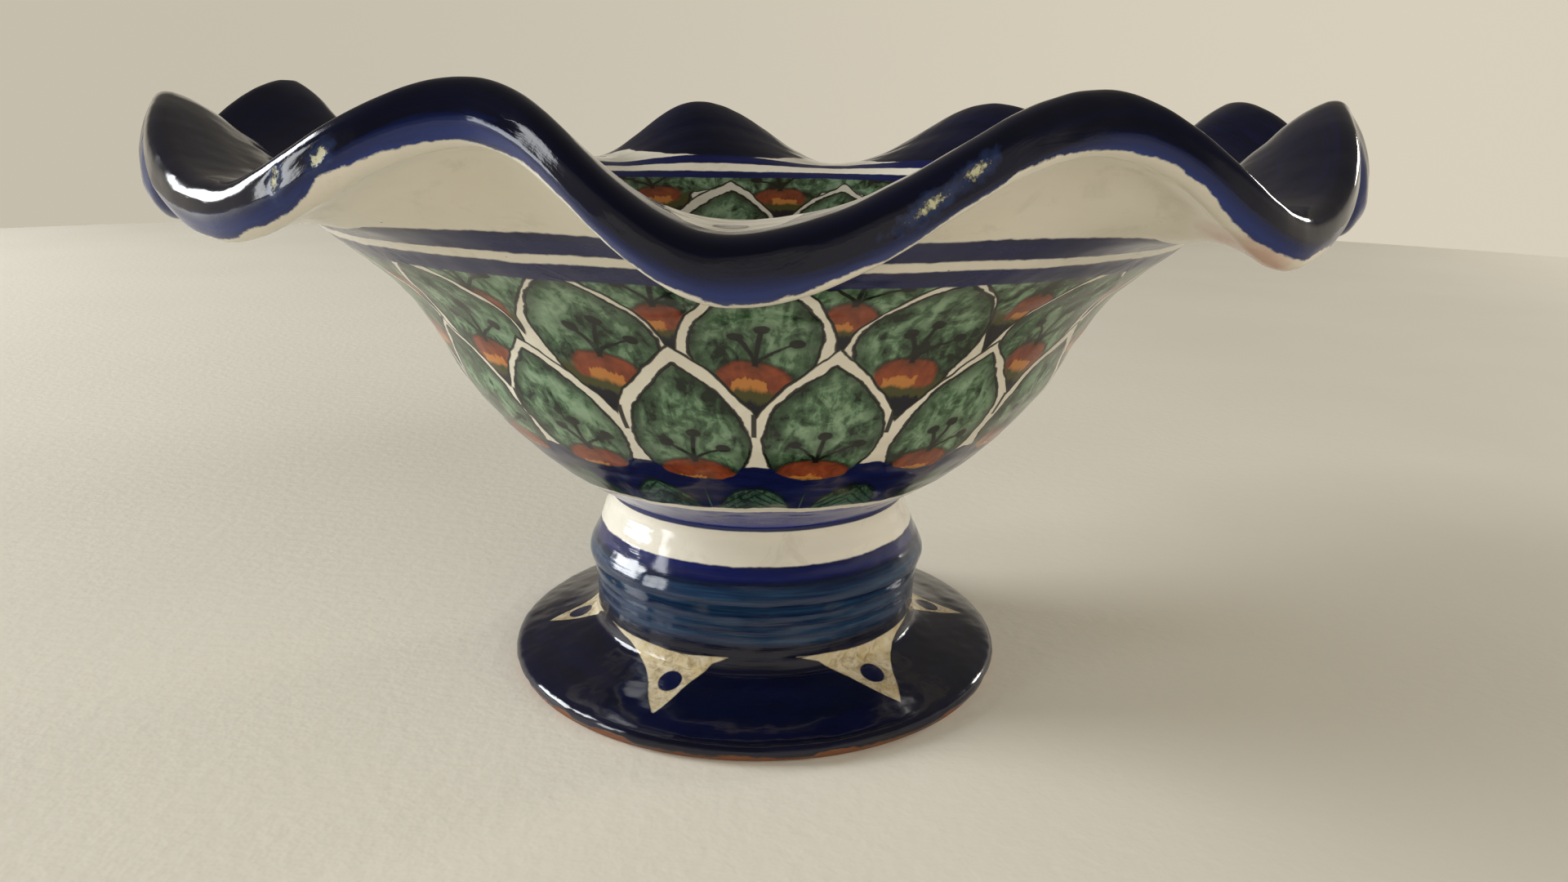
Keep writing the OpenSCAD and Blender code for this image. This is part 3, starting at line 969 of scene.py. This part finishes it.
def build_bowl():
    """The skin of the bowl as sheets of glaze that are painted apart, over its clay."""
    points, along_rows, round_lip = bowl_skin()
    rim = slice(TURN_ROW, TOP_ROW + 1)
    painted = lip_fields(points[:, rim], round_lip)
    dent = painted["chip"] + 0.8 * ragged(5, 14, along_rows[rim])
    ridge = np.zeros(points.shape[:2])
    ridge[:, rim] = 0.4 * np.exp(-(painted["face"] / 1.5) ** 2) - 0.35 * np.clip(dent, 0, 1)
    points = pushed(points, ridge)
    normals = facing(points)

    def sheet(name, first, last, fields, material, slot, **poles):
        rows = slice(first, last + 1)
        add_piece(name, points[:, rows], normals[:, rows], fields, material, slot,
                  ("bowl_glaze",), **poles)

    junctions = junction_angles(np.random.default_rng(21), 0.5)
    above_turn = np.maximum(0, np.arange(BAND_ROW + 1) - TURN_ROW) * FLANGE_LEN / FLANGE_ROWS
    run = np.r_[RUN_OUTSIDE, RUN_OUTSIDE[-1] + above_turn[TURN_ROW + 1:]]
    fields = feathers(run, 31, junctions)
    fields["above_turn"] = np.tile(above_turn, (AROUND, 1))
    sheet("glaze_outside", 0, BAND_ROW, fields, outside_glaze(), "tin_glaze")

    cobalt = rim_glaze()
    for name, first, last in (("glaze_underside", BAND_ROW, LIP_ROW),
                              ("glaze_lip", LIP_ROW, TOP_ROW)):
        local = slice(first - TURN_ROW, last + 1 - TURN_ROW)
        fields = {key: value[:, local] for key, value in painted.items()}
        sheet(name, first, last, fields, cobalt, "cobalt_glaze")

    reach = along_rows[TOP_ROW:LINE_ROW + 1] - along_rows[TOP_ROW]
    radius = np.hypot(points[..., 0], points[..., 1])[:, TOP_ROW:LINE_ROW + 1]
    dot = 3.2 - np.hypot(from_troughs(radius), (reach - 10.5) * 1.15)
    fields = {"lobe": lobe(reach, radius), "dot": dot, "reach": np.tile(reach, (AROUND, 1))}
    sheet("glaze_flange", TOP_ROW, LINE_ROW, fields, flange_glaze(), "cobalt_glaze")

    inner_run = INSIDE_START - (along_rows[LINE_ROW:] - along_rows[TOP_ROW])
    even = INSIDE_JUNCTION + np.arange(INSIDE_FEATHERS) * 360 / INSIDE_FEATHERS
    fields = feathers(inner_run, 47, even)
    sheet("glaze_inside", LINE_ROW, points.shape[1] - 1, fields, inside_glaze(), "tin_glaze",
          last_pole=points[0, -1, 2])
    bowl_clay(points, normals)


# -------------------- foot and stem

# Cream triangles on the foot: angles of the left corner, the tip and the right corner,
# and the radius of the tip
TRIANGLES = [(-114, -84, -67, 70), (-59, -24, -9, 73), (13, 36, 69, 73),
             (73, 92, 113, 71.7), (128, 152, 175, 72), (190, 216, 238, 72)]
# Height of the corners, and radius on which the dots stand
CORNER_Z, DOT_R = 18.4, 59.5
# Width of a triangle as a share of its widest, from its tip to the collar
SIDE_AT = [0, 0.26, 0.5, 0.68, 0.9, 1]
SIDE = [0, 0.12, 0.22, 0.34, 0.62, 1]


def stem_fields(section):
    """The cream triangles and their dots, as distances along the foot."""
    r, z = section[0, :, 0], section[0, :, 1]
    run = lengths(section[0])
    corner = np.interp(CORNER_Z, z, run)
    dot_run = np.interp(DOT_R, r[::-1], run[::-1])
    disc = z < 16
    triangle = np.full(section.shape[:2], -20.0)
    dot = triangle.copy()
    share = np.linspace(0, 1, 12)
    for left, point, right, tip_r in TRIANGLES:
        tip = np.interp(-tip_r, -r[disc], run[disc])
        x = arc(point, r)
        sides = []
        for end in (left, right):
            reach = np.interp(share, SIDE_AT, SIDE) * np.radians(end - point)
            place = tip + (corner - tip) * share
            sides.append(np.stack([reach * np.interp(place, run, r), place], -1))
        sag = [(0, corner - 0.8)]
        outline = np.concatenate([sides[0], sag, sides[1][::-1][:-1]])
        triangle = np.maximum(triangle, signed_distance(x, run, outline))
        lean = np.radians((left + right) / 2 - point) * DOT_R * 0.15
        dot = np.maximum(dot, 3.8 - np.hypot((x - lean) * 1.05, (run - dot_run) * 0.93))
    return {"triangle": triangle, "dot": dot}


def build_stem():
    """Glaze of the foot and stem with its thick wavering edge, over the thrown clay."""
    outline = evenly(STEM_OUTSIDE, STEM_ROWS + 1)
    section = np.tile(outline, (AROUND, 1, 1))
    lift = np.clip(0.35 + 0.5 * ragged(24, 15) + 0.2 * ragged(7, 16), 0, 2.2)
    section[..., 1] += lift * np.exp(-np.arange(STEM_ROWS + 1) / 2)
    fields = stem_fields(section)
    away = lengths(outline)[-1] - lengths(outline)
    fade = 1 - np.exp(-(away / 5) ** 2)
    points = uneven(turn(section), fade)
    grooves = np.sin(outline[:, 1] * 1.7 + ragged(90, 17, outline[:, 1]))
    points = pushed(points, 0.03 * grooves * fade)
    rolled = points[:, :1] + np.array([0, 0, -0.05])
    inward = turn(np.array([(-0.7, 0.15)]))
    points = np.concatenate([rolled + inward, points], axis=1)
    fields = {name: np.c_[value[:, :1], value] for name, value in fields.items()}
    normals = facing(points)
    add_piece("glaze_stem", points, normals, fields, stem_glaze(), "cobalt_glaze",
              ("pedestal_glaze",))

    outside = evenly(STEM_OUTSIDE, 90)
    outside -= outward(slopes(outside)) * (GLAZE_T + 0.35)
    outside[:, 1] = np.minimum(outside[:, 1], JOINT_Z - 1.5)
    standing = np.array([(70, 0.0), (FOOT_R - 2.6, 0.0), (FOOT_R - 1.4, 0.5)])
    loop = np.concatenate([standing, outside, evenly(STEM_INSIDE, 70)[::-1]])
    solid = turn(loop)[::2]
    inner = np.arange(len(loop)) > len(standing) + len(outside)
    marks = np.sin(loop[:, 1] * 1.15 + loop[:, 0] * 0.5) * 0.25 + waves(solid, 30, 18) * 0.12
    marks = marks * np.where(inner, 1, 0.3) * np.clip(loop[:, 1], 0, 1)
    solid = pushed(solid, marks)
    solid = np.concatenate([solid, solid[:, :1]], axis=1)
    add_piece("pedestal_clay", solid, facing(solid), {}, bare_clay("pedestal clay"), "clay",
              ("pedestal",))
    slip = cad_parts["slip_joint"]
    slip.data.materials.clear()
    slip.data.materials.append(bare_clay("luting slip", srgb(196, 140, 104)))


# -------------------- studio

FLOOR_REACH, FLOOR_SIDES = 1.7, 180
LIT_POINT = (0, 0, 0.1)
# Name, place, size, watts and colour of each light, and whether the glaze mirrors it
LIGHTS = [
    ("window", (-2.5, 0.35, 1.0), (1.1, 1.3), 74, (0.95, 0.98, 1), True),
    ("room", (1.7, -2.2, 1.5), (4.4, 2.6), 62, (1, 0.95, 0.86), False),
    ("side window", (-2.2, -0.9, 0.5), (0.5, 0.9), 12, (0.95, 0.98, 1), True),
    ("far window", (1.9, 1.2, 0.7), (0.35, 0.4), 9, (1, 0.96, 0.9), True),
]
# Brightness of the room by direction: from, to, and its share at either end
WORLD_RAMPS = {
    "X": (-0.5, 0.6, 0.86, 1.04),
    "Y": (-0.9, 0.5, 0.52, 1),
    "Z": (0.09, 0.32, 0.92, 0.24),
}


def add_light(name, place, size, power, colour, mirrored):
    """A rectangle of light that faces the bowl and that the camera doesn't see."""
    light = bpy.data.lights.new(name, "AREA")
    light.shape = "RECTANGLE"
    light.size, light.size_y = size
    light.energy = power
    light.color = colour
    lamp = add_object(name, light)
    lamp.location = place
    lamp.visible_camera = False
    lamp.visible_glossy = mirrored
    lamp.rotation_euler = (Vector(LIT_POINT) - Vector(place)).to_track_quat("-Z", "Y").to_euler()


def build_studio():
    """A pale floor and room, with windows to the left and behind and a soft fill in front."""
    mesh = bpy.data.meshes.new("floor")
    turns = np.linspace(0, 2 * math.pi, FLOOR_SIDES, endpoint=False)
    edge = [(FLOOR_REACH * math.cos(a), FLOOR_REACH * math.sin(a), 0) for a in turns]
    mesh.from_pydata(edge, [], [list(range(FLOOR_SIDES))])
    floor = add_object("floor", mesh)
    p = Paint("pale floor")
    tone = p.noise(160, 3)
    colour = p.between(srgb(226, 219, 204), srgb(234, 228, 214), 0.5 + tone)
    floor.data.materials.append(p.finish(colour, p.noise(5, 2) * 0.25, 0.6 + tone * 0.05))

    world = bpy.data.worlds.new("pale room")
    world.use_nodes = True
    tree = world.node_tree
    split = tree.nodes.new("ShaderNodeSeparateXYZ")
    tree.links.new(tree.nodes.new("ShaderNodeTexCoord").outputs["Generated"], split.inputs[0])
    strength = None
    for axis, span in WORLD_RAMPS.items():
        ramp = tree.nodes.new("ShaderNodeMapRange")
        ramp.interpolation_type = "SMOOTHSTEP"
        for name, value in zip(("From Min", "From Max", "To Min", "To Max"), span):
            ramp.inputs[name].default_value = value
        tree.links.new(split.outputs[axis], ramp.inputs["Value"])
        product = tree.nodes.new("ShaderNodeMath")
        product.operation = "MULTIPLY"
        product.inputs[1].default_value = 1
        tree.links.new(ramp.outputs[0], product.inputs[0])
        if strength:
            tree.links.new(strength, product.inputs[1])
        strength = product.outputs[0]
    background = tree.nodes["Background"]
    background.inputs["Color"].default_value = srgb(220, 211, 192)
    tree.links.new(strength, background.inputs["Strength"])
    bpy.context.scene.world = world
    for light in LIGHTS:
        add_light(*light)


# The camera fitted to the photograph: place in metres, angles in degrees, lens in mm
CAMERA_PLACE = (-0.00094, -0.35442, 0.17328)
TIPPED_DOWN, TURNED_RIGHT, ROLLED = 16.137, 1.538, 1.059
SENSOR_WIDTH, LENS = 36, 25.65


def build_camera():
    """The photograph's view: close, a little above the rim and tipped down."""
    tip, turn_right, roll = (math.radians(a) for a in (TIPPED_DOWN, TURNED_RIGHT, ROLLED))
    ahead = Vector((math.sin(turn_right) * math.cos(tip), math.cos(turn_right) * math.cos(tip),
                    -math.sin(tip)))
    level = Vector((math.cos(turn_right), -math.sin(turn_right), 0))
    above = level.cross(ahead)
    right = level * math.cos(roll) + above * math.sin(roll)
    up = above * math.cos(roll) - level * math.sin(roll)
    camera = add_object("camera", bpy.data.cameras.new("camera"))
    camera.data.sensor_width = SENSOR_WIDTH
    camera.data.lens = LENS
    camera.data.clip_start = 0.01
    turned = Matrix((right, up, -ahead)).transposed().to_4x4()
    camera.matrix_world = Matrix.Translation(CAMERA_PLACE) @ turned
    bpy.context.scene.camera = camera


build_bowl()
build_stem()
build_studio()
build_camera()
bpy.context.scene.view_settings.view_transform = "Standard"
